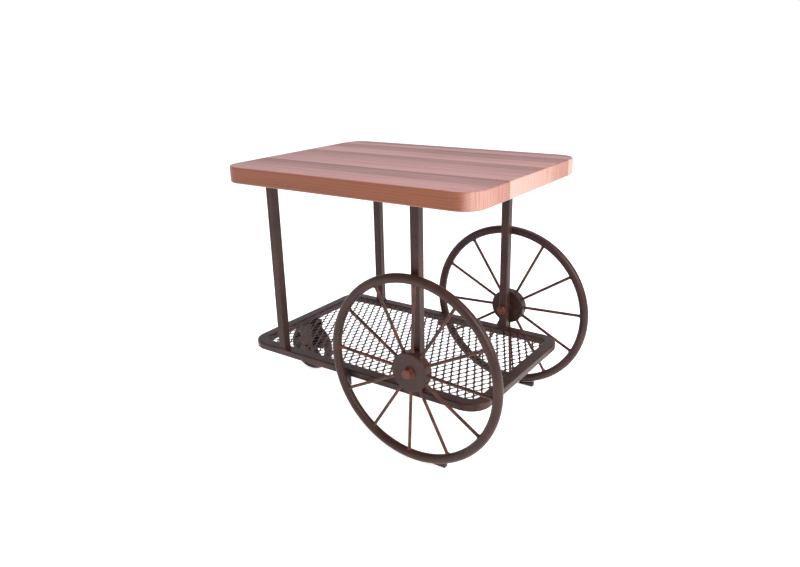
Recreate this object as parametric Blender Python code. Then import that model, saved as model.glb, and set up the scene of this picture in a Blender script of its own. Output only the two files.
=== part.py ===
"""Butcher block table on a steel cart frame, metres, +Z up.

X runs along the table's long side, with the two large wheels at the +X end. Y is the depth, front at -Y.
The origin is on the ground in the middle of the whole table's outline, from the left side of the small
wheel to the right side of the large wheels. The block is centred on it.
"""

import math

import bmesh
import bpy
from mathutils import Matrix, Vector

# ---- Driving dimensions --------------------------------------------------------------------------
INCH = 0.0254
GAP = 0.0003  # clearance between faces that touch

OVERALL_LENGTH = 28 * INCH  # over the wheels
TOP_LENGTH = 24 * INCH
TOP_DEPTH = 18 * INCH
TABLE_HEIGHT = 22 * INCH
TOP_THICKNESS = 1.375 * INCH
TOP_CORNER_RADIUS = 0.045
TOP_EDGE_ROUND = 0.002
STAVE_JOINTS = (-0.101, 0.053, 0.168)  # Y of each glue line

WHEEL_RADIUS = 0.1955
WHEEL_Y = 0.2079

TUBE = 0.75 * INCH  # square tube of the legs
TUBE_CORNER = 0.0025
LEG_X = {"left": -0.2044, "right": OVERALL_LENGTH / 2 - WHEEL_RADIUS}
LEG_Y = {"front": -0.1834, "back": 0.1834}
PLATE_SIZE = 0.046
PLATE_THICKNESS = 0.003

RAIL_X = (-0.3083, 0.3018)  # outer faces of the shelf ring
RAIL_Y = (-0.1943, 0.1943)
RAIL_TOP = 0.1477
RAIL_WIDTH = INCH
RAIL_HEIGHT = 0.625 * INCH
RAIL_CORNER = 0.045
RAIL_EDGE = 0.0018

MESH_TOP = RAIL_TOP - 0.001
MESH_THICKNESS = 0.0022
MESH_LONG_WAY = 0.0676  # diamond length along Y
MESH_SHORT_WAY = 0.0358  # diamond width along X
MESH_STRAND = 0.0030

RIM_TUBE_RADIUS = 0.0095
SPOKES = 12
SPOKE_TURN = {"front": math.radians(-3), "back": math.radians(3)}  # first spoke above +X, at rest
SPOKE_RADIUS = 0.0033
HUB_RADIUS = 0.040
HUB_WIDTH = 0.022
HUB_CHAMFER = 0.0012
BOLT_RADIUS = 0.0059
BORE_RADIUS = 0.0063
HEX_FLAT = 0.019  # across flats
BOLT_HEAD = 0.0078
BOLT_FLANGE = 0.0015
SPACER_RADIUS = 0.0115
NUT_WIDTH = 0.010
BOLT_TAIL = 0.003
FOOT_X = (0.036, 0.074)  # from the axle
FOOT_Y = (0.1970, 0.2070)
FOOT_CLEARANCE = 0.0025  # above the ground

CASTER_RADIUS = 0.062
CASTER_X = CASTER_RADIUS - OVERALL_LENGTH / 2
CASTER_WIDTH = 0.026
CASTER_RIM = 0.011  # radial thickness
CASTER_HUB_RADIUS = 0.016
CASTER_SPOKE_WIDTH = 0.010
CASTER_SPOKE_DEPTH = 0.012
CASTER_SPOKES = 5
CASTER_BOLT_RADIUS = 0.0047
CASTER_BORE_RADIUS = 0.0051
CASTER_HEAD = 0.006
CASTER_HEAD_RADIUS = 0.0085
CASTER_NUT_WIDTH = 0.008
CASTER_NUT_FLAT = 0.016
FORK_WIDTH = 0.040
FORK_PLATE = 0.004
FORK_INSIDE = 0.034
FORK_BELOW_AXLE = 0.013

TAB_X = (-0.027, -0.009)
TAB_THICKNESS = 0.005
TAB_DROP = 0.022

ROUND_STEPS = 48


# ---- Helpers -------------------------------------------------------------------------------------
def clear_scene():
    for obj in list(bpy.data.objects):
        bpy.data.objects.remove(obj, do_unlink=True)


def make_material(name, color, roughness, metallic):
    material = bpy.data.materials.new(name)
    material.use_nodes = True
    shader = material.node_tree.nodes["Principled BSDF"]
    shader.inputs["Base Color"].default_value = (*color, 1.0)
    shader.inputs["Roughness"].default_value = roughness
    shader.inputs["Metallic"].default_value = metallic
    return material


def add_object(name, bm, material, parent=None, location=(0.0, 0.0, 0.0), smooth=False):
    bmesh.ops.recalc_face_normals(bm, faces=bm.faces)
    mesh = bpy.data.meshes.new(name)
    bm.to_mesh(mesh)
    bm.free()
    if smooth:
        mesh.shade_smooth()
        mesh.set_sharp_from_angle(angle=math.radians(35))
    mesh.materials.append(material)
    obj = bpy.data.objects.new(name, mesh)
    bpy.context.scene.collection.objects.link(obj)
    obj.location = location
    obj.parent = parent
    return obj


def add_empty(name, location):
    empty = bpy.data.objects.new(name, None)
    bpy.context.scene.collection.objects.link(empty)
    empty.location = location
    return empty


def loft(loops, closed_path):
    """Skin a list of point loops of equal length; cap both ends unless the path is closed."""
    bm = bmesh.new()
    rings = [[bm.verts.new(point) for point in loop] for loop in loops]
    count = len(rings[0])
    pairs = list(zip(rings, rings[1:]))
    if closed_path:
        pairs.append((rings[-1], rings[0]))
    for first, second in pairs:
        for i in range(count):
            j = (i + 1) % count
            bm.faces.new((first[i], first[j], second[j], second[i]))
    if not closed_path:
        bm.faces.new(rings[0][::-1])
        bm.faces.new(rings[-1])
    return bm


def prism(outline, levels):
    """Extrude an outline in the XY plane between two heights."""
    return loft([[(x, y, z) for x, y in outline] for z in levels], closed_path=False)


def box_mesh(low, high):
    corners = [(low[0], low[1]), (high[0], low[1]), (high[0], high[1]), (low[0], high[1])]
    return prism(corners, (low[2], high[2]))


def arc(centre, radius, start, end, steps):
    """Points of an arc in the XY plane, angles in degrees."""
    angles = [math.radians(start + (end - start) * i / steps) for i in range(steps + 1)]
    return [(centre[0] + radius * math.cos(a), centre[1] + radius * math.sin(a)) for a in angles]


def rounded_rectangle(x_range, y_range, radius, steps=6):
    """Counter-clockwise outline with the same number of points whatever its size."""
    x0, x1 = x_range
    y0, y1 = y_range
    outline = arc((x1 - radius, y1 - radius), radius, 0, 90, steps)
    outline += arc((x0 + radius, y1 - radius), radius, 90, 180, steps)
    outline += arc((x0 + radius, y0 + radius), radius, 180, 270, steps)
    outline += arc((x1 - radius, y0 + radius), radius, 270, 360, steps)
    return outline


def turned(profile, steps=ROUND_STEPS):
    """Solid of revolution about the Y axis from a closed profile of (radius, y) points."""
    loops = []
    for i in range(steps):
        angle = 2 * math.pi * i / steps
        loops.append([(r * math.cos(angle), y, r * math.sin(angle)) for r, y in profile])
    return loft(loops, closed_path=True)


def circle(radius, steps):
    angles = [2 * math.pi * i / steps for i in range(steps)]
    return [(radius * math.cos(a), radius * math.sin(a)) for a in angles]


def cylinder_y(radius, y_range, steps):
    return loft([[(x, y, z) for x, z in circle(radius, steps)] for y in y_range], closed_path=False)


def cut(obj, bm, name):
    """Subtract a cutter, given as a bmesh, from an object."""
    cutter = add_object(name, bm, obj.data.materials[0], obj.parent, obj.location)
    cutter.hide_render = True
    cutter.display_type = "WIRE"
    modifier = obj.modifiers.new(name, "BOOLEAN")
    modifier.operation = "DIFFERENCE"
    modifier.solver = "EXACT"
    modifier.object = cutter


# ---- Block ---------------------------------------------------------------------------------------
def stave_outline(x_range, y_range, round_front, round_back):
    """Outline of one stave; the block's own corners are rounded, the glue lines are straight."""
    (x0, x1), (y0, y1), radius = x_range, y_range, TOP_CORNER_RADIUS
    if round_front:
        outline = arc((x0 + radius, y0 + radius), radius, 180, 270, 8)
        outline += arc((x1 - radius, y0 + radius), radius, 270, 360, 8)
    else:
        outline = [(x0, y0), (x1, y0)]
    if round_back:
        outline += arc((x1 - radius, y1 - radius), radius, 0, 90, 8)
        outline += arc((x0 + radius, y1 - radius), radius, 90, 180, 8)
    else:
        outline += [(x1, y1), (x0, y1)]
    return outline


def build_top(material):
    x_range = (-TOP_LENGTH / 2, TOP_LENGTH / 2)
    levels = (TABLE_HEIGHT - TOP_THICKNESS, TABLE_HEIGHT)
    edges = (-TOP_DEPTH / 2, *STAVE_JOINTS, TOP_DEPTH / 2)
    last = len(edges) - 1
    for number, (y0, y1) in enumerate(zip(edges, edges[1:]), start=1):
        first_stave, last_stave = number == 1, number == last
        low = y0 if first_stave else y0 + GAP / 2
        high = y1 if last_stave else y1 - GAP / 2
        bm = prism(stave_outline(x_range, (low, high), first_stave, last_stave), levels)
        glue_lines = ([] if first_stave else [low]) + ([] if last_stave else [high])
        rim = [edge for edge in bm.edges if is_outer_rim(edge, glue_lines)]
        bmesh.ops.bevel(bm, geom=rim, offset=TOP_EDGE_ROUND, segments=2, profile=0.5, affect="EDGES")
        add_object(f"stave_{number}", bm, material)


def is_outer_rim(edge, glue_lines):
    """True for a horizontal edge on the outside of the block, false on a glue line or a vertical edge."""
    a, b = (vert.co for vert in edge.verts)
    on_glue_line = any(abs(a.y - y) < 1e-6 and abs(b.y - y) < 1e-6 for y in glue_lines)
    return abs(a.z - b.z) < 1e-6 and not on_glue_line


# ---- Frame ---------------------------------------------------------------------------------------
def build_legs(material):
    underside = TABLE_HEIGHT - TOP_THICKNESS
    plate_high = underside - GAP
    plate_low = plate_high - PLATE_THICKNESS
    half_tube, half_plate = TUBE / 2, PLATE_SIZE / 2
    for row, y in LEG_Y.items():
        for side, x in LEG_X.items():
            outline = rounded_rectangle((x - half_tube, x + half_tube), (y - half_tube, y + half_tube),
                                        TUBE_CORNER, steps=2)
            bm = prism(outline, (RAIL_TOP + GAP, plate_low - GAP))
            leg = add_object(f"leg_{row}_{side}", bm, material, smooth=True)
            if side == "right":
                hole = cylinder_y(BORE_RADIUS, (y - TUBE, y + TUBE), 24)
                bmesh.ops.translate(hole, verts=hole.verts, vec=(x, 0.0, WHEEL_RADIUS))
                cut(leg, hole, f"bolt_hole_{row}")
            plate = box_mesh((x - half_plate, y - half_plate, plate_low),
                             (x + half_plate, y + half_plate, plate_high))
            add_object(f"leg_plate_{row}_{side}", plate, material)


def build_shelf_rail(material):
    """Rectangular tube bent into a ring: each section point is an outline at its own inset and height."""
    low = RAIL_TOP - RAIL_HEIGHT
    edge = RAIL_EDGE
    section = [(edge, RAIL_TOP), (0.0, RAIL_TOP - edge), (0.0, low + edge), (edge, low),
               (RAIL_WIDTH - edge, low), (RAIL_WIDTH, low + edge), (RAIL_WIDTH, RAIL_TOP - edge),
               (RAIL_WIDTH - edge, RAIL_TOP)]
    loops = []
    for inset, z in section:
        outline = rounded_rectangle((RAIL_X[0] + inset, RAIL_X[1] - inset),
                                    (RAIL_Y[0] + inset, RAIL_Y[1] - inset), RAIL_CORNER - inset, steps=8)
        loops.append([(x, y, z) for x, y in outline])
    add_object("shelf_rail", loft(loops, closed_path=True), material, smooth=True)


def open_cell(bm, face):
    """Turn a convex face into a rim of strand width around a hole."""
    centre = face.calc_center_median()
    corners = [loop.vert for loop in face.loops]
    reach = []
    for a, b in zip(corners, corners[1:] + corners[:1]):
        along = (b.co - a.co).normalized()
        offset = centre - a.co
        reach.append((offset - along * offset.dot(along)).length)
    nearest = min(reach)
    if nearest < MESH_STRAND * 1.4:
        return
    keep = 1.0 - MESH_STRAND / 2 / nearest
    inner = [bm.verts.new(centre + (vert.co - centre) * keep) for vert in corners]
    count = len(corners)
    for i in range(count):
        j = (i + 1) % count
        bm.faces.new((corners[i], corners[j], inner[j], inner[i]))
    bm.faces.remove(face)


def build_shelf_mesh(material):
    """Open diamond lattice, cut to fit inside the rail."""
    inset = RAIL_WIDTH + GAP
    x_range = (RAIL_X[0] + inset, RAIL_X[1] - inset)
    y_range = (RAIL_Y[0] + inset, RAIL_Y[1] - inset)
    outline = rounded_rectangle(x_range, y_range, RAIL_CORNER - inset, steps=4)
    bm = bmesh.new()
    bm.faces.new([bm.verts.new((x, y, MESH_TOP - MESH_THICKNESS)) for x, y in outline])
    middle = Vector((sum(x_range) / 2, sum(y_range) / 2, MESH_TOP - MESH_THICKNESS))
    for sign in (1, -1):
        direction = Vector((sign * MESH_SHORT_WAY, MESH_LONG_WAY, 0.0)).normalized()
        normal = Vector((-direction.y, direction.x, 0.0))
        pitch = MESH_LONG_WAY * MESH_SHORT_WAY / math.hypot(MESH_LONG_WAY, MESH_SHORT_WAY)
        count = int((x_range[1] - x_range[0]) / pitch)
        for i in range(-count, count + 1):
            bmesh.ops.bisect_plane(bm, geom=bm.verts[:] + bm.edges[:] + bm.faces[:], dist=1e-6,
                                   plane_co=middle + normal * pitch * (i + 0.5), plane_no=normal)
    for face in list(bm.faces):
        open_cell(bm, face)
    top = bmesh.ops.extrude_face_region(bm, geom=bm.faces[:])
    lifted = [item for item in top["geom"] if isinstance(item, bmesh.types.BMVert)]
    bmesh.ops.translate(bm, verts=lifted, vec=(0.0, 0.0, MESH_THICKNESS))
    add_object("shelf_mesh", bm, material)


def build_wheel_tabs(material):
    """Flat tabs under the side rails, just clear of the large rims."""
    high = RAIL_TOP - RAIL_HEIGHT - GAP
    for row, sign in (("front", -1), ("back", 1)):
        outer = sign * (abs(RAIL_Y[1]) - RAIL_EDGE)
        inner = outer - sign * TAB_THICKNESS
        low = (TAB_X[0], min(outer, inner), high - TAB_DROP)
        add_object(f"rail_tab_{row}", box_mesh(low, (TAB_X[1], max(outer, inner), high)), material)


# ---- Large wheels --------------------------------------------------------------------------------
def build_large_wheel(row, side, materials):
    """One spoked wheel on its own empty; side is -1 at the front and 1 at the back."""
    steel, rust = materials
    centre = (LEG_X["right"], side * WHEEL_Y, WHEEL_RADIUS)
    axle = add_empty(f"{row}_wheel_axle", centre)
    rim_radius = WHEEL_RADIUS - RIM_TUBE_RADIUS

    tube = [(rim_radius + r, y) for r, y in circle(RIM_TUBE_RADIUS, 12)]
    add_object(f"{row}_wheel_rim", turned(tube), steel, axle, smooth=True)

    half, edge = HUB_WIDTH / 2, HUB_RADIUS - HUB_CHAMFER
    hub = [(BORE_RADIUS, half), (edge, half), (HUB_RADIUS, half - HUB_CHAMFER),
           (HUB_RADIUS, HUB_CHAMFER - half), (edge, -half), (BORE_RADIUS, -half)]
    add_object(f"{row}_wheel_hub", turned(hub), steel, axle, smooth=True)

    start = HUB_RADIUS + GAP
    end = (rim_radius - RIM_TUBE_RADIUS) * math.cos(math.pi / ROUND_STEPS) - GAP  # inside the rim's facets
    for number in range(SPOKES):
        angle = SPOKE_TURN[row] + 2 * math.pi * number / SPOKES
        section = circle(SPOKE_RADIUS, 8)
        bm = loft([[(r, y, z) for y, z in section] for r in (start, end)], closed_path=False)
        turn = Matrix.Rotation(-angle, 3, "Y")
        bmesh.ops.rotate(bm, verts=bm.verts, cent=(0.0, 0.0, 0.0), matrix=turn)
        add_object(f"{row}_wheel_spoke_{number + 1:02d}", bm, rust, axle, smooth=True)

    build_wheel_foot(row, side, steel, axle)
    build_wheel_bolt(row, side, centre, steel)


def build_wheel_foot(row, side, material, axle):
    """Wedge under the rim: flat and level below, hollowed to the rim's curve on top."""
    steps = 8
    reach = WHEEL_RADIUS + GAP
    upper = []
    for i in range(steps + 1):
        x = FOOT_X[0] + (FOOT_X[1] - FOOT_X[0]) * i / steps
        upper.append((x, -math.sqrt(reach * reach - x * x)))
    low = FOOT_CLEARANCE - WHEEL_RADIUS
    outline = [(FOOT_X[1], low), (FOOT_X[0], low), *upper]
    depths = [side * (y - WHEEL_Y) for y in FOOT_Y]
    bm = loft([[(x, y, z) for x, z in outline] for y in depths], closed_path=False)
    add_object(f"{row}_wheel_foot", bm, material, axle)


def build_wheel_bolt(row, side, centre, material):
    """Axle bolt through hub and leg, with its spacer and nut; these stay with the frame."""
    place = Vector((centre[0], 0.0, centre[2]))
    hub_outer = WHEEL_Y + HUB_WIDTH / 2
    hub_inner = WHEEL_Y - HUB_WIDTH / 2
    leg_outer = LEG_Y["back"] + TUBE / 2
    nut_outer = LEG_Y["back"] - TUBE / 2 - GAP
    nut_inner = nut_outer - NUT_WIDTH
    tail = nut_inner - BOLT_TAIL

    head_back = hub_outer + GAP
    flange = head_back + BOLT_FLANGE
    corner = HEX_FLAT / 2 / math.cos(math.pi / 6)
    thread_chamfer, head_chamfer = 0.001, 0.0014
    round_sections = [(tail, BOLT_RADIUS - thread_chamfer), (tail + thread_chamfer, BOLT_RADIUS),
                      (head_back, BOLT_RADIUS), (head_back, corner + 0.002), (flange, corner + 0.002)]
    hex_sections = [(flange, corner), (flange + BOLT_HEAD - head_chamfer, corner),
                    (flange + BOLT_HEAD, corner - head_chamfer)]
    loops = [[(x, side * y, z) for x, z in circle(radius, 24)] for y, radius in round_sections]
    loops += [[(x, side * y, z) for x, z in hexagon(radius, 24)] for y, radius in hex_sections]
    add_object(f"{row}_wheel_bolt", loft(loops, closed_path=False), material, location=place)

    near, far = side * (leg_outer + GAP), side * (hub_inner - GAP)
    spacer = [(BORE_RADIUS, near), (SPACER_RADIUS, near), (SPACER_RADIUS, far), (BORE_RADIUS, far)]
    add_object(f"{row}_wheel_spacer", turned(spacer, 24), material, location=place, smooth=True)
    nut_range = (side * nut_outer, side * nut_inner)
    add_nut(f"{row}_wheel_nut", nut_range, BORE_RADIUS, HEX_FLAT, material, place)


def hexagon(corner, steps):
    """Hexagon with its corners at radius corner, at the same angles as a circle of that many steps."""
    sector = math.pi / 3
    outline = []
    for x, z in circle(1.0, steps):
        angle = math.atan2(z, x) % sector
        r = corner * math.cos(sector / 2) / math.cos(angle - sector / 2)
        outline.append((r * x, r * z))
    return outline


def add_nut(name, y_range, bore, flats, material, place):
    y0, y1 = y_range
    outer = hexagon(flats / 2 / math.cos(math.pi / 6), 24)
    inner = circle(bore, 24)
    loops = []
    for (ox, oz), (ix, iz) in zip(outer, inner):
        loops.append([(ix, y0, iz), (ox, y0, oz), (ox, y1, oz), (ix, y1, iz)])
    add_object(name, loft(loops, closed_path=True), material, location=place)


# ---- Small wheel ---------------------------------------------------------------------------------
def build_caster(material):
    """Small wheel in a fork that hangs under the left side of the shelf ring."""
    build_fork(RAIL_TOP - RAIL_HEIGHT - GAP, material)

    axle = add_empty("caster_axle_line", (CASTER_X, 0.0, CASTER_RADIUS))
    half = CASTER_WIDTH / 2
    inner_radius = CASTER_RADIUS - CASTER_RIM
    rim = [(CASTER_RADIUS - 0.003, -half), (CASTER_RADIUS, -half + 0.004), (CASTER_RADIUS, half - 0.004),
           (CASTER_RADIUS - 0.003, half), (inner_radius, half), (inner_radius, -half)]
    add_object("caster_tyre", turned(rim, 40), material, axle, smooth=True)
    build_caster_spider(inner_radius, material, axle)

    place = Vector((CASTER_X, 0.0, CASTER_RADIUS))
    fork_outer = FORK_INSIDE / 2 + FORK_PLATE + GAP
    nut_end = fork_outer + CASTER_NUT_WIDTH
    bolt = [(-fork_outer - CASTER_HEAD, CASTER_HEAD_RADIUS), (-fork_outer, CASTER_HEAD_RADIUS),
            (-fork_outer, CASTER_BOLT_RADIUS), (nut_end + BOLT_TAIL, CASTER_BOLT_RADIUS)]
    loops = [[(x, y, z) for x, z in circle(radius, 16)] for y, radius in bolt]
    add_object("caster_axle_bolt", loft(loops, closed_path=False), material, location=place)
    add_nut("caster_axle_nut", (fork_outer, nut_end), CASTER_BORE_RADIUS, CASTER_NUT_FLAT, material, place)


def build_fork(top, material):
    """Flat bar bent into an upside-down U, with a bolt hole through both cheeks."""
    inside = FORK_INSIDE / 2
    outside = inside + FORK_PLATE
    roof = top - FORK_PLATE
    half = FORK_WIDTH / 2
    low = CASTER_RADIUS - FORK_BELOW_AXLE
    section = [(-outside, top), (outside, top), (outside, low), (inside, low), (inside, roof),
               (-inside, roof), (-inside, low), (-outside, low)]
    loops = [[(CASTER_X + x, y, z) for y, z in section] for x in (-half, half)]
    fork = add_object("caster_fork", loft(loops, closed_path=False), material)
    hole = cylinder_y(CASTER_BORE_RADIUS, (-outside - 0.01, outside + 0.01), 16)
    bmesh.ops.translate(hole, verts=hole.verts, vec=(CASTER_X, 0.0, CASTER_RADIUS))
    cut(fork, hole, "fork_bolt_hole")


def build_caster_spider(inner_radius, material, axle):
    """Cast hub and spokes: a star outline about the axle, thicker at the boss."""
    hub_half = FORK_INSIDE / 2 - 0.001
    spoke_half = CASTER_SPOKE_DEPTH / 2
    tip = inner_radius - GAP * 2
    outline = []
    for number in range(CASTER_SPOKES):
        middle = 2 * math.pi * number / CASTER_SPOKES + math.pi / 2
        half_tip = CASTER_SPOKE_WIDTH / 2 / tip
        half_root = math.asin(CASTER_SPOKE_WIDTH / 2 / CASTER_HUB_RADIUS)
        for radius, angle in ((CASTER_HUB_RADIUS, middle - half_root), (tip, middle - half_tip),
                              (tip, middle + half_tip), (CASTER_HUB_RADIUS, middle + half_root)):
            outline.append((radius * math.cos(angle), radius * math.sin(angle)))
    star = loft([[(x, y, z) for x, z in outline] for y in (-spoke_half, spoke_half)], closed_path=False)
    spider = add_object("caster_spider", star, material, axle)
    boss = cylinder_y(CASTER_HUB_RADIUS * 0.85, (-hub_half, hub_half), 24)
    boss_object = add_object("caster_boss_shape", boss, material, axle)
    boss_object.hide_render = True
    boss_object.display_type = "WIRE"
    join = spider.modifiers.new("boss", "BOOLEAN")
    join.operation = "UNION"
    join.solver = "EXACT"
    join.object = boss_object
    cut(spider, cylinder_y(CASTER_BORE_RADIUS, (-hub_half - 0.01, hub_half + 0.01), 16), "spider_bore")


def main():
    clear_scene()
    wood = make_material("oiled_maple", (0.55, 0.33, 0.24), 0.45, 0.0)
    steel = make_material("bronze_painted_steel", (0.060, 0.040, 0.035), 0.40, 0.6)
    rust = make_material("rust_washed_rod", (0.110, 0.045, 0.030), 0.50, 0.5)
    build_top(wood)
    build_legs(steel)
    build_shelf_rail(steel)
    build_shelf_mesh(steel)
    build_wheel_tabs(steel)
    build_large_wheel("front", -1, (steel, rust))
    build_large_wheel("back", 1, (steel, rust))
    build_caster(steel)


main()
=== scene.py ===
import math

import bmesh
import bpy
from mathutils import Matrix, Vector


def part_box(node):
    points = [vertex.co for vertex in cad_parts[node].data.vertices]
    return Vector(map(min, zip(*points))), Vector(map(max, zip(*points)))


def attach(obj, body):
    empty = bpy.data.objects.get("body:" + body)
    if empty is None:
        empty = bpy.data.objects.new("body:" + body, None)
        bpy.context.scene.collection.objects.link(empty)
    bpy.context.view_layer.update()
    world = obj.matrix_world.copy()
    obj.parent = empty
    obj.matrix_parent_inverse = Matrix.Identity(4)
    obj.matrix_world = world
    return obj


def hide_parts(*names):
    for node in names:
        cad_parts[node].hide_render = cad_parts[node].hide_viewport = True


# Looks of the butcher block table on a wheeled steel cart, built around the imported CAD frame.
# Every piece takes its place from the frame's own boxes; sizes here are finish details, in metres.

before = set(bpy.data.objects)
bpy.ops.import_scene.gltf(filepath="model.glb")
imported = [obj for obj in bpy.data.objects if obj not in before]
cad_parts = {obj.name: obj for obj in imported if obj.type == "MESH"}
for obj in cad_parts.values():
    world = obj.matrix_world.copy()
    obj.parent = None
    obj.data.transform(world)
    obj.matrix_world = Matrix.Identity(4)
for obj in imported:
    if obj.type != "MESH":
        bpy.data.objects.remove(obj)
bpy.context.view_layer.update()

ROWS = ("front", "back")
SIDES = ("left", "right")

BLOCK_EDGE = 0.0035  # round-over of the block's upper and lower edges
BLOCK_CORNER = 0.045
TUBE_CORNER = 0.0027
RAIL_EDGE = 0.0028
RAIL_CORNER = 0.045
RAIL_WIDTH = 0.0254
WELD_RADIUS = 0.0021

MESH_ACROSS = 0.0179  # one diamond along X
MESH_ALONG = 0.0338  # one diamond along Y
MESH_STRAND = 0.0029
MESH_RISE = 0.0009  # half of the height between the two edges of a tilted strand

SCREW_RADIUS = 0.0038
SCREW_INSET = 0.0075  # from the plate's edges
HUB_EDGE = 0.0022
HEX_FLATS = 0.019
SHANK_RADIUS = 0.0059
BORE_RADIUS = 0.0063
BOLT_CHAMFER = 0.0016
NUT_CHAMFER = 0.0013
SPOKE_RADIUS = 0.0033
SPOKE_WELD = 0.0035  # length of the weld at each end
SPOKE_BITE = 0.0008  # how far a rod's ends reach into hub and rim

SMALL_RIM = 0.011  # radial thickness
SMALL_NUT_FLATS = 0.016
SMALL_BORE = 0.0051

# The photograph's angle: azimuth from -Y towards +X, elevation above the floor, and a slight roll.
CAMERA_AZIMUTH, CAMERA_ELEVATION, CAMERA_ROLL = 0.6189, 0.3315, -0.0242
CAMERA_TARGET = Vector((-0.0228, 0.0171, 0.2742))
CAMERA_DISTANCE = 1.5695
CAMERA_LENS = 30.83
FLOOR_RADIUS = 14.0


# ---- Mesh helpers --------------------------------------------------------------------------------
def loft(loops, closed_path=False):
    """Skin point loops of equal length; cap both ends unless the path is closed."""
    bm = bmesh.new()
    rings = [[bm.verts.new(point) for point in loop] for loop in loops]
    count = len(rings[0])
    pairs = list(zip(rings, rings[1:]))
    if closed_path:
        pairs.append((rings[-1], rings[0]))
    for first, second in pairs:
        for i in range(count):
            j = (i + 1) % count
            bm.faces.new((first[i], first[j], second[j], second[i]))
    if not closed_path:
        bm.faces.new(rings[0][::-1])
        bm.faces.new(rings[-1])
    return bm


def circle(radius, steps, centre=(0.0, 0.0)):
    angles = [2 * math.pi * i / steps for i in range(steps)]
    return [(centre[0] + radius * math.cos(a), centre[1] + radius * math.sin(a)) for a in angles]


def arc(centre, radius, start, end, steps):
    """Points of an arc in a plane, angles in degrees."""
    angles = [math.radians(start + (end - start) * i / steps) for i in range(steps + 1)]
    return [(centre[0] + radius * math.cos(a), centre[1] + radius * math.sin(a)) for a in angles]


def rounded_rectangle(x_range, y_range, radius, steps):
    """Counter-clockwise outline with the same number of points whatever its size."""
    (x0, x1), (y0, y1) = x_range, y_range
    outline = arc((x1 - radius, y1 - radius), radius, 0, 90, steps)
    outline += arc((x0 + radius, y1 - radius), radius, 90, 180, steps)
    outline += arc((x0 + radius, y0 + radius), radius, 180, 270, steps)
    outline += arc((x1 - radius, y0 + radius), radius, 270, 360, steps)
    return outline


def turned(profile, centre, steps, axis="Y"):
    """Ring of revolution from a closed profile of (radius, distance along the axis) points."""
    loops = []
    for i in range(steps):
        angle = 2 * math.pi * i / steps
        c, s = math.cos(angle), math.sin(angle)
        if axis == "Y":
            loop = [(centre[0] + r * c, centre[1] + d, centre[2] + r * s) for r, d in profile]
        else:
            loop = [(centre[0] + r * c, centre[1] + r * s, centre[2] + d) for r, d in profile]
        loops.append(loop)
    return loft(loops, closed_path=True)


def join(parts):
    """One bmesh from several."""
    whole = bmesh.new()
    for part in parts:
        shape = bpy.data.meshes.new("part")
        part.to_mesh(shape)
        part.free()
        whole.from_mesh(shape)
        bpy.data.meshes.remove(shape)
    return whole


def add_piece(name, bm, material, body, slot, *nodes, sharp=38):
    """Makes the object, lets it ride on its body and stand for its CAD nodes."""
    bmesh.ops.recalc_face_normals(bm, faces=bm.faces)
    mesh = bpy.data.meshes.new(name)
    bm.to_mesh(mesh)
    bm.free()
    mesh.shade_smooth()
    mesh.set_sharp_from_angle(angle=math.radians(sharp))
    mesh.materials.append(material)
    obj = bpy.data.objects.new(name, mesh)
    bpy.context.scene.collection.objects.link(obj)
    weighted = obj.modifiers.new("weighted_normals", "WEIGHTED_NORMAL")
    weighted.keep_sharp = True
    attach(obj, body)
    if nodes:
        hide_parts(*nodes)
    return obj


def softened(name, node, material, body, slot, width, segments=3):
    """A copy of a CAD node whose sharp edges are rounded."""
    bm = bmesh.new()
    bm.from_mesh(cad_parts[node].data)
    bmesh.ops.remove_doubles(bm, verts=bm.verts, dist=1e-5)
    bmesh.ops.dissolve_limit(bm, angle_limit=math.radians(1), verts=bm.verts, edges=bm.edges)
    sharp = [e for e in bm.edges if len(e.link_faces) == 2 and e.calc_face_angle() > math.radians(40)]
    bmesh.ops.bevel(bm, geom=sharp, offset=width, segments=segments, profile=0.5, affect="EDGES")
    return add_piece(name, bm, material, body, slot, node)


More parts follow.
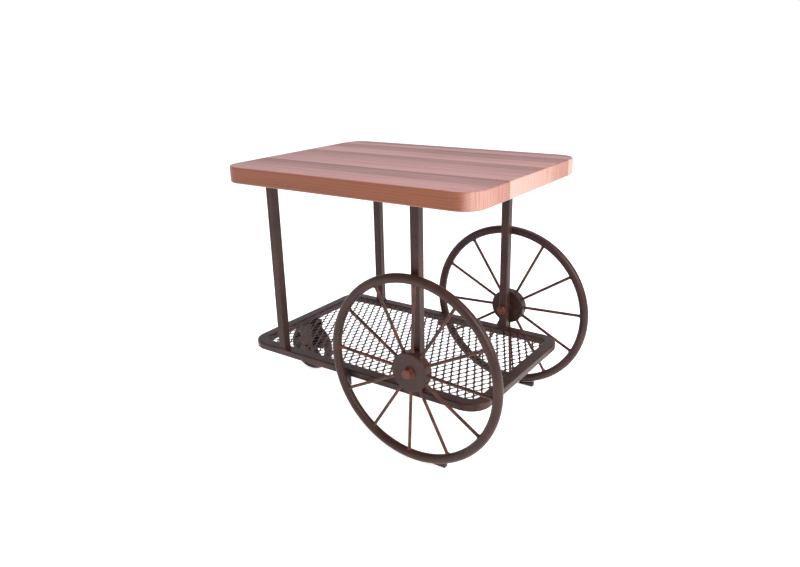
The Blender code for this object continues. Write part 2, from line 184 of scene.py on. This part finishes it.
# ---- Materials -----------------------------------------------------------------------------------
class Finish:
    """A node material under construction."""

    def __init__(self, name):
        self.material = bpy.data.materials.new(name)
        self.material.use_nodes = True
        self.tree = self.material.node_tree
        self.surface = self.tree.nodes["Principled BSDF"]

    def feed(self, socket, value):
        if isinstance(value, bpy.types.NodeSocket):
            self.tree.links.new(value, socket)
        else:
            socket.default_value = value

    def node(self, kind, inputs, **settings):
        node = self.tree.nodes.new("ShaderNode" + kind)
        for key, value in settings.items():
            setattr(node, key, value)
        for key, value in inputs.items():
            self.feed(node.inputs[key], value)
        return node

    def place(self, scale=(1.0, 1.0, 1.0), shift=(0.0, 0.0, 0.0)):
        """Object coordinates in metres, scaled and shifted."""
        source = self.node("TexCoord", {}).outputs["Object"]
        inputs = {"Vector": source, "Scale": scale, "Location": shift}
        return self.node("Mapping", inputs).outputs["Vector"]

    def noise(self, where, scale, detail=3.0, roughness=0.55):
        inputs = {"Vector": where, "Scale": scale, "Detail": detail, "Roughness": roughness}
        return self.node("TexNoise", inputs).outputs["Fac"]

    def math(self, operation, a, b=0.0, c=0.0):
        return self.node("Math", {0: a, 1: b, 2: c}, operation=operation).outputs[0]

    def spread(self, value, low, high, to_low=0.0, to_high=1.0):
        """Maps low..high to to_low..to_high with soft ends."""
        inputs = {"Value": value, "From Min": low, "From Max": high, "To Min": to_low, "To Max": to_high}
        return self.node("MapRange", inputs, interpolation_type="SMOOTHSTEP").outputs["Result"]

    def mix(self, factor, a, b, blend="MIX"):
        node = self.node("Mix", {0: factor, 6: a, 7: b}, data_type="RGBA", blend_type=blend)
        return node.outputs[2]

    def bump(self, height, strength, distance, normal=None):
        inputs = {"Height": height, "Strength": strength, "Distance": distance}
        if normal is not None:
            inputs["Normal"] = normal
        return self.node("Bump", inputs).outputs["Normal"]

    def finish(self, color, roughness, normal, **uniform):
        self.feed(self.surface.inputs["Base Color"], color)
        self.feed(self.surface.inputs["Roughness"], roughness)
        self.feed(self.surface.inputs["Normal"], normal)
        for key, value in uniform.items():
            self.surface.inputs[key.replace("_", " ")].default_value = value
        return self.material


def rgb(red, green, blue):
    return (red, green, blue, 1.0)


# Light and dark colour of the wood on its upper face, long faces and ends, picked by the face's normal. The
# upper face is paler and pinker as painted sheen and cool skylight, the long faces are darker and more
# orange as painted shade with a warm bounce, and the ends are lighter, partly for the end grain and partly
# as painted key light from the right.
WOOD_TOP_PAINTED_SHEEN = (rgb(0.150, 0.042, 0.030), rgb(0.400, 0.180, 0.158))
WOOD_SIDE_PAINTED_WARM_SHADE = (rgb(0.070, 0.018, 0.006), rgb(0.250, 0.074, 0.030))
WOOD_END_GRAIN_PAINTED_LIGHT = (rgb(0.270, 0.088, 0.046), rgb(0.540, 0.325, 0.272))


def make_wood(name, y_range, seed, pith, tone, end_tone):
    """Oiled hardwood with growth rings, for one stave. Rings run about a line along X far below it."""
    wood = Finish(name)
    shift = (seed * 3.1, seed * 1.7, seed * 2.3)
    source = wood.node("TexCoord", {}).outputs
    wander = wood.noise(wood.place((1.4, 7.0, 7.0), shift), 1.0, detail=2.0)
    ripple = wood.noise(wood.place((9.0, 40.0, 40.0), shift), 1.0, detail=2.0)
    split = wood.node("SeparateXYZ", {"Vector": source["Object"]}).outputs
    bend = wood.math("MULTIPLY_ADD", wander, 0.034, wood.math("MULTIPLY", ripple, 0.004))
    dy = wood.math("ADD", wood.math("SUBTRACT", split["Y"], pith[0]), bend)
    dz = wood.math("SUBTRACT", split["Z"], pith[1])
    squares = wood.math("ADD", wood.math("MULTIPLY", dy, dy), wood.math("MULTIPLY", dz, dz))
    reach = wood.math("SQRT", squares)
    ring = wood.math("FRACT", wood.math("DIVIDE", reach, 0.0052))
    late_wood = wood.spread(ring, 0.35, 0.97)
    sharp_end = wood.spread(ring, 0.97, 1.0, 1.0, 0.0)
    ring_tone = wood.math("MULTIPLY", late_wood, sharp_end)

    fibre = wood.noise(wood.place((7.0, 520.0, 520.0), shift), 1.0, detail=4.0, roughness=0.7)
    streak = wood.noise(wood.place((2.2, 70.0, 70.0), shift), 1.0, detail=3.0, roughness=0.6)
    cloud = wood.noise(wood.place((3.0, 9.0, 9.0), shift), 1.0, detail=2.0)
    pores = wood.noise(wood.place((22.0, 900.0, 900.0), shift), 1.0, detail=2.0)
    pore = wood.spread(pores, 0.62, 0.72)

    across = wood.spread(split["Y"], y_range[0], y_range[1], 1.0, 0.0)
    level = wood.math("MULTIPLY_ADD", across, 0.52, tone)
    level = wood.math("MULTIPLY_ADD", wood.math("SUBTRACT", streak, 0.5), 0.90, level)
    level = wood.math("MULTIPLY_ADD", wood.math("SUBTRACT", fibre, 0.5), 0.75, level)
    level = wood.math("MULTIPLY_ADD", wood.math("SUBTRACT", cloud, 0.5), 0.50, level)
    level = wood.math("MULTIPLY_ADD", ring_tone, -0.20, level)
    level = wood.math("MULTIPLY_ADD", pore, -0.16, level)
    level = wood.spread(level, 0.0, 1.0)

    # Painted light by face: the upper face takes the painted sheen colours, the long faces the painted
    # shade colours, the ends end grain with painted key light.
    normal = wood.node("SeparateXYZ", {"Vector": source["Normal"]}).outputs
    end_grain_painted_light_face = wood.spread(wood.math("ABSOLUTE", normal["X"]), 0.25, 0.85)
    painted_sheen_face = wood.spread(wood.math("ABSOLUTE", normal["Z"]), 0.35, 0.9)
    side = wood.mix(level, *WOOD_SIDE_PAINTED_WARM_SHADE)
    upright = wood.noise(wood.place((0.0, 330.0, 9.0), shift), 1.0, detail=4.0, roughness=0.7)
    board = wood.math("MULTIPLY_ADD", across, 0.25, end_tone)
    end_level = wood.math("MULTIPLY_ADD", wood.math("SUBTRACT", upright, 0.5), 1.1, board)
    end_level = wood.math("MULTIPLY_ADD", ring_tone, -0.07, end_level)
    end = wood.mix(wood.spread(end_level, 0.0, 1.0), *WOOD_END_GRAIN_PAINTED_LIGHT)
    top = wood.mix(level, *WOOD_TOP_PAINTED_SHEEN)
    color = wood.mix(painted_sheen_face, wood.mix(end_grain_painted_light_face, side, end), top)

    rough = wood.spread(fibre, 0.3, 0.7, 0.36, 0.52)
    height = wood.math("MULTIPLY_ADD", pore, -0.8, wood.math("MULTIPLY", fibre, 0.5))
    height = wood.math("MULTIPLY_ADD", ring_tone, 0.3, height)
    relief = wood.bump(height, 0.35, 0.0004)
    return wood.finish(color, rough, relief, Coat_Weight=0.10, Coat_Roughness=0.30, IOR=1.42)


def make_bronze(name, rust, seed=0.0, roughness=0.40, painted_shade=0.0):
    """Dark bronze paint rubbed through to a rusty copper tint; rust is how much of it shows. The last
    argument darkens the colour toward near-black as painted shade.
    """
    paint = Finish(name)
    shift = (seed, seed * 0.7, seed * 1.3)
    where = paint.place(shift=shift)
    broad = paint.noise(where, 14.0, detail=3.0)
    patch = paint.noise(where, 46.0, detail=5.0, roughness=0.65)
    fleck = paint.noise(where, 420.0, detail=2.0)
    peel = paint.noise(where, 900.0, detail=2.0)

    base = paint.mix(paint.spread(broad, 0.3, 0.7), rgb(0.024, 0.0110, 0.0085), rgb(0.046, 0.0200, 0.0135))
    base = paint.mix(paint.spread(fleck, 0.55, 0.75, 0.0, 0.35), base, rgb(0.090, 0.038, 0.023))
    worn = paint.spread(patch, 0.72 - 0.42 * rust, 0.86 - 0.30 * rust, 0.0, 0.25 + 0.6 * rust)
    color = paint.mix(worn, base, rgb(0.150, 0.042, 0.016))
    # Painted shade: the colour is pulled toward near-black by this amount, for the small wheel under the
    # shelf.
    if painted_shade:
        color = paint.mix(painted_shade, color, rgb(0.006, 0.004, 0.004))

    rough = paint.math("MULTIPLY_ADD", patch, 0.22, roughness - 0.11)
    height = paint.math("MULTIPLY_ADD", peel, 0.35, paint.math("MULTIPLY", patch, 0.65))
    relief = paint.bump(height, 0.30, 0.0004)
    return paint.finish(color, rough, relief, Specular_IOR_Level=0.32,
                        Specular_Tint=rgb(1.0, 0.86, 0.90))


# ---- Block ---------------------------------------------------------------------------------------
def stave_outline(x_range, y_range, radius, round_front, round_back, steps=14):
    """Outline of one stave; the block's own corners are rounded, the glue lines are straight."""
    (x0, x1), (y0, y1) = x_range, y_range
    if round_front:
        outline = arc((x0 + radius, y0 + radius), radius, 180, 270, steps)
        outline += arc((x1 - radius, y0 + radius), radius, 270, 360, steps)
    else:
        outline = [(x0, y0), (x1, y0)]
    if round_back:
        outline += arc((x1 - radius, y1 - radius), radius, 0, 90, steps)
        outline += arc((x0 + radius, y1 - radius), radius, 90, 180, steps)
    else:
        outline += [(x1, y1), (x0, y1)]
    return outline


def build_block():
    names = sorted(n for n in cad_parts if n.startswith("stave_"))
    tones = (0.34, 0.40, 0.38, 0.27)
    end_tones = (0.36, 0.70, 0.34, 0.66)
    for number, node in enumerate(names):
        low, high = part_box(node)
        first, last = number == 0, number == len(names) - 1
        y_range = (low.y, high.y)
        levels = [(BLOCK_EDGE * (1 - math.sin(a)), low.z + BLOCK_EDGE * (1 - math.cos(a)))
                  for a in quarter_turn()]
        levels += [(inset, low.z + high.z - z) for inset, z in reversed(levels)]
        loops = []
        for inset, z in levels:
            front = low.y + (inset if first else 0.0)
            back = high.y - (inset if last else 0.0)
            outline = stave_outline((low.x + inset, high.x - inset), (front, back),
                                    BLOCK_CORNER - inset, first, last)
            loops.append([(x, y, z) for x, y in outline])
        pith = (sum(y_range) / 2 + 0.05 * (-1) ** number, low.z - 0.16 - 0.05 * number)
        wood = make_wood(f"oiled_stave_{number + 1}", y_range, number + 1.0, pith, tones[number],
                         end_tones[number])
        add_piece(f"block_{node}", loft(loops), wood, "frame", "block", node, sharp=60)


def quarter_turn(steps=4):
    return [math.pi / 2 * i / steps for i in range(steps + 1)]


# ---- Frame ---------------------------------------------------------------------------------------
def build_leg(row, side, steel):
    node = f"leg_{row}_{side}"
    low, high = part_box(node)
    outline = rounded_rectangle((low.x, high.x), (low.y, high.y), TUBE_CORNER, 6)
    tube = loft([[(x, y, z) for x, y in outline] for z in (low.z, high.z)])
    add_piece(f"{node}_tube", tube, steel, "frame", "frame_steel", node)
    add_piece(f"{node}_weld", weld_around(low, high), steel, "frame", "frame_steel", sharp=70)


def weld_around(low, high):
    """Rippled weld bead round the foot of a leg."""
    path = rounded_rectangle((low.x, high.x), (low.y, high.y), TUBE_CORNER, 4)
    dense = []
    for a, b in zip(path, path[1:] + path[:1]):
        parts = max(1, round(math.dist(a, b) / 0.0009))
        dense += [(a[0] + (b[0] - a[0]) * i / parts, a[1] + (b[1] - a[1]) * i / parts)
                  for i in range(parts)]
    centre = ((low.x + high.x) / 2, (low.y + high.y) / 2)
    loops = []
    for i, (x, y) in enumerate(dense):
        outward = Vector((x - centre[0], y - centre[1])).normalized()
        size = WELD_RADIUS * (0.82 + 0.22 * abs(math.sin(i * 0.7)))
        loops.append([(x + outward.x * u * size, y + outward.y * u * size, low.z + v * size)
                      for u, v in circle(1.0, 8)])
    return loft(loops, closed_path=True)


def build_leg_plate(row, side, steel, bolt_steel):
    node = f"leg_plate_{row}_{side}"
    low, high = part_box(node)
    softened(f"{node}_rounded", node, steel, "frame", "frame_steel", 0.0008)
    screws = []
    for x in (low.x + SCREW_INSET, high.x - SCREW_INSET):
        for y in (low.y + SCREW_INSET, high.y - SCREW_INSET):
            head = [(0.0006, -0.0023), (SCREW_RADIUS * 0.7, -0.0021), (SCREW_RADIUS, -0.0008),
                    (SCREW_RADIUS, 0.0002), (0.0006, 0.0002)]
            screws.append(turned(head, (x, y, low.z), 20, axis="Z"))
    add_piece(f"{node}_screws", join(screws), bolt_steel, "frame", "bolts")


def build_shelf_ring(steel):
    low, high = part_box("shelf_rail")
    section = rounded_rectangle((0.0, RAIL_WIDTH), (low.z, high.z), RAIL_EDGE, 5)
    loops = []
    for inset, z in section:
        outline = rounded_rectangle((low.x + inset, high.x - inset), (low.y + inset, high.y - inset),
                                    RAIL_CORNER - inset, 20)
        loops.append([(x, y, z) for x, y in outline])
    add_piece("shelf_ring", loft(loops, closed_path=True), steel, "frame", "frame_steel", "shelf_rail")


def build_expanded_metal(steel):
    """Diamond lattice whose strands are tilted, as they are when the sheet is slit and stretched."""
    low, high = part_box("shelf_mesh")
    middle_point = (low + high) / 2
    half_x, half_y = MESH_ACROSS / 2, MESH_ALONG / 2
    columns = int((high.x - low.x) / 2 / half_x) + 1
    rows = int((high.y - low.y) / 2 / half_y) + 1
    bm = bmesh.new()
    top = middle_point.z + 0.0002
    for i in range(-columns, columns + 1):
        for j in range(-rows, rows + 1):
            if (i + j) % 2:
                continue
            centre = Vector((middle_point.x + i * half_x, middle_point.y + j * half_y, top))
            if inside_ring(centre, low, high):
                open_cell(bm, centre, half_x, half_y)
    bmesh.ops.remove_doubles(bm, verts=bm.verts, dist=2e-5)
    bmesh.ops.recalc_face_normals(bm, faces=bm.faces)
    lifted = bmesh.ops.extrude_face_region(bm, geom=bm.faces[:])
    lower = [item for item in lifted["geom"] if isinstance(item, bmesh.types.BMVert)]
    bmesh.ops.translate(bm, verts=lower, vec=(0.0, 0.0, -0.0011))
    add_piece("shelf_expanded_metal", bm, steel, "frame", "shelf_mesh", "shelf_mesh", sharp=50)


def inside_ring(centre, low, high):
    """True where a whole cell about centre ends under the ring and not beyond it."""
    spare = 0.009
    x = abs(centre.x - (low.x + high.x) / 2) - (high.x - low.x) / 2
    y = abs(centre.y - (low.y + high.y) / 2) - (high.y - low.y) / 2
    return max(x, y) < spare and x + y < spare - 0.008


def open_cell(bm, centre, half_x, half_y):
    """One diamond: an outline shared with its neighbours and a rounded hole with a tilted rim."""
    steps = 3
    corners = [(half_x, 0.0), (0.0, half_y), (-half_x, 0.0), (0.0, -half_y)]
    outer = []
    for a, b in zip(corners, corners[1:] + corners[:1]):
        outer += [(a[0] + (b[0] - a[0]) * k / steps, a[1] + (b[1] - a[1]) * k / steps)
                  for k in range(steps)]
    nearest = half_x * half_y / math.hypot(half_x, half_y)
    keep = 1.0 - MESH_STRAND / 2 / nearest
    blunt = 0.86
    inner = []
    for k, (x, y) in enumerate(outer):
        size = keep * (blunt if k % steps == 0 else 1.0)
        inner.append((x * size, y * size))
    ring = [bm.verts.new(centre + Vector((x, y, 0.0))) for x, y in outer]
    hole = [bm.verts.new(centre + Vector((x, y, -MESH_RISE * x / half_x))) for x, y in inner]
    for k in range(len(ring)):
        m = (k + 1) % len(ring)
        bm.faces.new((ring[k], ring[m], hole[m], hole[k]))


# ---- Wheels --------------------------------------------------------------------------------------
def build_large_wheel(row, steel, rods, bolt_steel, foot_steel):
    body = f"{row}_wheel"
    low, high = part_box(f"{row}_wheel_rim")
    centre = (low + high) / 2
    tube = (high.y - low.y) / 2
    path = (high.x - low.x) / 2 - tube
    rim = turned(circle(tube, 28, (path, 0.0)), centre, 128)
    add_piece(f"{row}_rim_tube", rim, steel, body, "frame_steel", f"{row}_wheel_rim")

    build_hub(row, body, centre, steel)
    hub_low, hub_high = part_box(f"{row}_wheel_hub")
    start = (hub_high.x - hub_low.x) / 2 - SPOKE_BITE
    end = path - tube + SPOKE_BITE
    names = sorted(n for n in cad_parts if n.startswith(f"{row}_wheel_spoke_"))
    for number, node in enumerate(names):
        reach = sum(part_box(node), Vector()) / 2 - centre
        angle = math.atan2(reach.z, reach.x)
        rod = spoke(start, end, number)
        bmesh.ops.rotate(rod, verts=rod.verts, cent=(0.0, 0.0, 0.0), matrix=Matrix.Rotation(-angle, 3, "Y"))
        bmesh.ops.translate(rod, verts=rod.verts, vec=centre)
        add_piece(f"{row}_spoke_rod_{number + 1:02d}", rod, rods[number % len(rods)], body, "spokes", node)

    softened(f"{row}_foot_wedge", f"{row}_wheel_foot", foot_steel, body, "frame_steel", 0.0008)
    build_axle_bolt(row, bolt_steel, steel)


def spoke(start, end, number):
    """Round rod along X with a lumpy weld at both ends."""
    radius, weld = SPOKE_RADIUS, SPOKE_WELD
    stations = [(start, radius + 0.0016), (start + weld * 0.5, radius + 0.0013), (start + weld, radius),
                (start + 0.02, radius), (end - 0.02, radius), (end - weld, radius),
                (end - weld * 0.5, radius + 0.0012), (end, radius + 0.0018)]
    loops = []
    for along, size in stations:
        bulge = size - radius
        loop = []
        for k in range(16):
            angle = 2 * math.pi * k / 16
            r = radius + bulge * (1.0 + 0.25 * math.sin(3 * angle + number * 1.7))
            loop.append((along, r * math.cos(angle), r * math.sin(angle)))
        loops.append(loop)
    return loft(loops)


def build_hub(row, body, centre, steel):
    """Drum with rounded rims and a shallow turned step on both faces."""
    node = f"{row}_wheel_hub"
    low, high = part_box(node)
    radius, half = (high.x - low.x) / 2, (high.y - low.y) / 2
    edge = [(radius - HUB_EDGE * (1 - math.cos(a)), half - HUB_EDGE * (1 - math.sin(a)))
            for a in quarter_turn()]
    face = [(BORE_RADIUS, half - 0.0002), (radius * 0.42, half - 0.0002), (radius * 0.44, half)]
    profile = face + edge[::-1] + [(r, -d) for r, d in edge] + [(r, -d) for r, d in face[::-1]]
    add_piece(f"{row}_hub_drum", turned(profile, centre, 72), steel, body, "frame_steel", node)


def hex_radius(angle, flats):
    sector = math.pi / 3
    return flats / 2 / math.cos(angle % sector - sector / 2)


def hex_loop(centre, y, flats, limit, steps=48):
    """Hexagon about the Y axis with its corners cut back to the limit radius."""
    loop = []
    for i in range(steps):
        angle = 2 * math.pi * i / steps
        r = min(hex_radius(angle, flats), limit)
        loop.append((centre.x + r * math.cos(angle), y, centre.z + r * math.sin(angle)))
    return loop


def round_loop(centre, y, radius, steps=48):
    return hex_loop(centre, y, 10.0, radius, steps)


def build_axle_bolt(row, bolt_steel, steel):
    node = f"{row}_wheel_bolt"
    low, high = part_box(node)
    centre = (low + high) / 2
    sign = -1 if row == "front" else 1
    head_end = low.y if sign < 0 else high.y
    tail = high.y if sign < 0 else low.y
    hub_low, hub_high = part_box(f"{row}_wheel_hub")
    seat = hub_low.y if sign < 0 else hub_high.y
    flats, shank = HEX_FLATS, SHANK_RADIUS
    corner = flats / math.sqrt(3)
    washer = corner + 0.002
    head_seat = seat + sign * 0.0018
    loops = [round_loop(centre, tail, shank - 0.001), round_loop(centre, tail + sign * 0.001, shank),
             round_loop(centre, seat + sign * 0.0003, shank),
             round_loop(centre, seat + sign * 0.0003, washer),
             round_loop(centre, seat + sign * 0.0012, washer),
             round_loop(centre, head_seat, washer - 0.0006)]
    loops += [hex_loop(centre, head_seat, flats, corner),
              hex_loop(centre, head_end - sign * BOLT_CHAMFER, flats, corner),
              hex_loop(centre, head_end - sign * BOLT_CHAMFER / 2, flats, corner - 0.0010),
              hex_loop(centre, head_end, flats, corner - 0.0027)]
    add_piece(f"{row}_axle_bolt", loft(loops), bolt_steel, "frame", "bolts", node, sharp=32)

    softened(f"{row}_axle_spacer", f"{row}_wheel_spacer", steel, "frame", "bolts", 0.0005)
    build_nut(f"{row}_axle_nut", f"{row}_wheel_nut", bolt_steel, flats, shank + 0.0003)


def build_nut(name, node, steel, flats, bore):
    low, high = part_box(node)
    centre = (low + high) / 2
    corner = flats / math.sqrt(3)
    cut = NUT_CHAMFER
    levels = [(low.y, corner - 0.002), (low.y + cut, corner), (high.y - cut, corner),
              (high.y, corner - 0.002)]
    loops = [round_loop(centre, high.y - cut / 2, bore), round_loop(centre, low.y + cut / 2, bore),
             round_loop(centre, low.y, bore + 0.0006)]
    loops += [hex_loop(centre, y, flats, limit) for y, limit in levels]
    loops += [round_loop(centre, high.y, bore + 0.0006)]
    add_piece(name, loft(loops, closed_path=True), steel, "frame", "bolts", node, sharp=32)


def build_small_wheel(steel, shade_painted_steel, bolt_steel):
    low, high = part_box("caster_tyre")
    centre = (low + high) / 2
    outer, half = (high.x - low.x) / 2, (high.y - low.y) / 2
    inner = outer - SMALL_RIM
    crown = arc((outer - half * 0.62, 0.0), half * 0.62, -72, 72, 10)
    scale = half / crown[-1][1]
    profile = [(r, d * scale) for r, d in crown] + [(inner + 0.001, half), (inner, half - 0.001),
                                                   (inner, 0.001 - half), (inner + 0.001, -half)]
    # Rim and spider take the bronze paint darkened as painted shade under the shelf.
    add_piece("small_wheel_rim", turned(profile, centre, 72), shade_painted_steel, "small_wheel", "frame_steel",
              "caster_tyre")
    softened("small_wheel_spider", "caster_spider", shade_painted_steel, "small_wheel", "frame_steel", 0.0009)
    softened("small_wheel_fork", "caster_fork", steel, "frame", "frame_steel", 0.0009)
    softened("small_wheel_bolt", "caster_axle_bolt", bolt_steel, "frame", "bolts", 0.0009)
    build_nut("small_wheel_nut", "caster_axle_nut", bolt_steel, SMALL_NUT_FLATS, SMALL_BORE)


# ---- Stage ---------------------------------------------------------------------------------------
def build_floor():
    bm = bmesh.new()
    rim = [bm.verts.new((x, y, 0.0)) for x, y in circle(FLOOR_RADIUS, 64)]
    bm.faces.new(rim)
    mesh = bpy.data.meshes.new("studio_floor")
    bm.to_mesh(mesh)
    bm.free()
    floor = bpy.data.objects.new("studio_floor", mesh)
    bpy.context.scene.collection.objects.link(floor)
    pale = Finish("pale_floor")
    grain = pale.noise(pale.place(), 3.0)
    color = pale.mix(grain, rgb(0.86, 0.86, 0.86), rgb(0.89, 0.89, 0.89))
    relief = pale.bump(grain, 0.02, 0.001)
    mesh.materials.append(pale.finish(color, 0.9, relief))
    pale.surface.inputs["Emission Color"].default_value = rgb(1.0, 1.0, 1.0)
    pale.surface.inputs["Emission Strength"].default_value = 0.75


def add_softbox(name, place, target, size, power, color):
    light = bpy.data.lights.new(name, "AREA")
    light.shape = "RECTANGLE"
    light.size, light.size_y = size
    light.energy = power
    light.color = color
    lamp = bpy.data.objects.new(name, light)
    bpy.context.scene.collection.objects.link(lamp)
    lamp.location = place
    lamp.rotation_euler = (Vector(target) - Vector(place)).to_track_quat("-Z", "Y").to_euler()


def build_world():
    world = bpy.data.worlds.new("studio")
    world.use_nodes = True
    tree = world.node_tree
    background = tree.nodes["Background"]
    coords = tree.nodes.new("ShaderNodeTexCoord")
    split = tree.nodes.new("ShaderNodeSeparateXYZ")
    ramp = tree.nodes.new("ShaderNodeValToRGB")
    tree.links.new(coords.outputs["Generated"], split.inputs["Vector"])
    tree.links.new(split.outputs["Z"], ramp.inputs["Fac"])
    tree.links.new(ramp.outputs["Color"], background.inputs["Color"])
    ramp.color_ramp.elements[0].position = 0.16
    ramp.color_ramp.elements[0].color = rgb(1.0, 1.0, 1.0)
    ramp.color_ramp.elements[1].position = 0.50
    ramp.color_ramp.elements[1].color = rgb(0.40, 0.41, 0.46)
    background.inputs["Strength"].default_value = 1.0
    bpy.context.scene.world = world


def build_camera():
    azimuth, elevation = CAMERA_AZIMUTH, CAMERA_ELEVATION
    back = Vector((math.sin(azimuth) * math.cos(elevation), -math.cos(azimuth) * math.cos(elevation),
                   math.sin(elevation)))
    right = Vector((0.0, 0.0, 1.0)).cross(back).normalized()
    up = back.cross(right)
    turn = Matrix.Rotation(CAMERA_ROLL, 3, back)
    right, up = turn @ right, turn @ up
    data = bpy.data.cameras.new("camera")
    data.sensor_width = 36.0
    data.lens = CAMERA_LENS
    data.clip_end = 100.0
    camera = bpy.data.objects.new("camera", data)
    bpy.context.scene.collection.objects.link(camera)
    pose = Matrix((right, up, back)).transposed().to_4x4()
    pose.translation = CAMERA_TARGET + back * CAMERA_DISTANCE
    camera.matrix_world = pose
    bpy.context.scene.camera = camera


def main():
    steel = make_bronze("bronze_paint", rust=0.25, seed=1.0)
    ring_steel = make_bronze("bronze_paint_shelf", rust=0.15, seed=4.0)
    mesh_steel = make_bronze("bronze_paint_mesh", rust=0.10, seed=5.0, roughness=0.48)
    rods = [make_bronze(f"rust_washed_rod_{i + 1}", rust=0.75, seed=7.0 + 3.3 * i) for i in range(3)]
    bolt_steel = make_bronze("rust_washed_bolt", rust=0.9, seed=21.0, roughness=0.34)
    # The small wheel's copy of the paint is darkened as painted shade, since it sits under the shelf.
    shade_painted_steel = make_bronze("bronze_paint_painted_shade", rust=0.2, seed=31.0, painted_shade=0.35)

    build_block()
    for row in ROWS:
        for side in SIDES:
            build_leg(row, side, steel)
            build_leg_plate(row, side, steel, bolt_steel)
        softened(f"rail_tab_{row}_rounded", f"rail_tab_{row}", steel, "frame", "frame_steel", 0.0008)
        build_large_wheel(row, steel, rods, bolt_steel, steel)
    build_shelf_ring(ring_steel)
    build_expanded_metal(mesh_steel)
    build_small_wheel(steel, shade_painted_steel, bolt_steel)

    build_floor()
    build_world()
    add_softbox("key_softbox", (2.3, -0.5, 1.9), (0.0, 0.0, 0.3), (1.8, 1.8), 75.0, (1.0, 0.96, 0.93))
    add_softbox("top_softbox", (-0.3, 0.9, 2.6), (0.0, 0.0, 0.4), (2.0, 1.4), 30.0, (0.88, 0.90, 1.0))
    build_camera()
    bpy.context.scene.view_settings.view_transform = "Standard"


main()
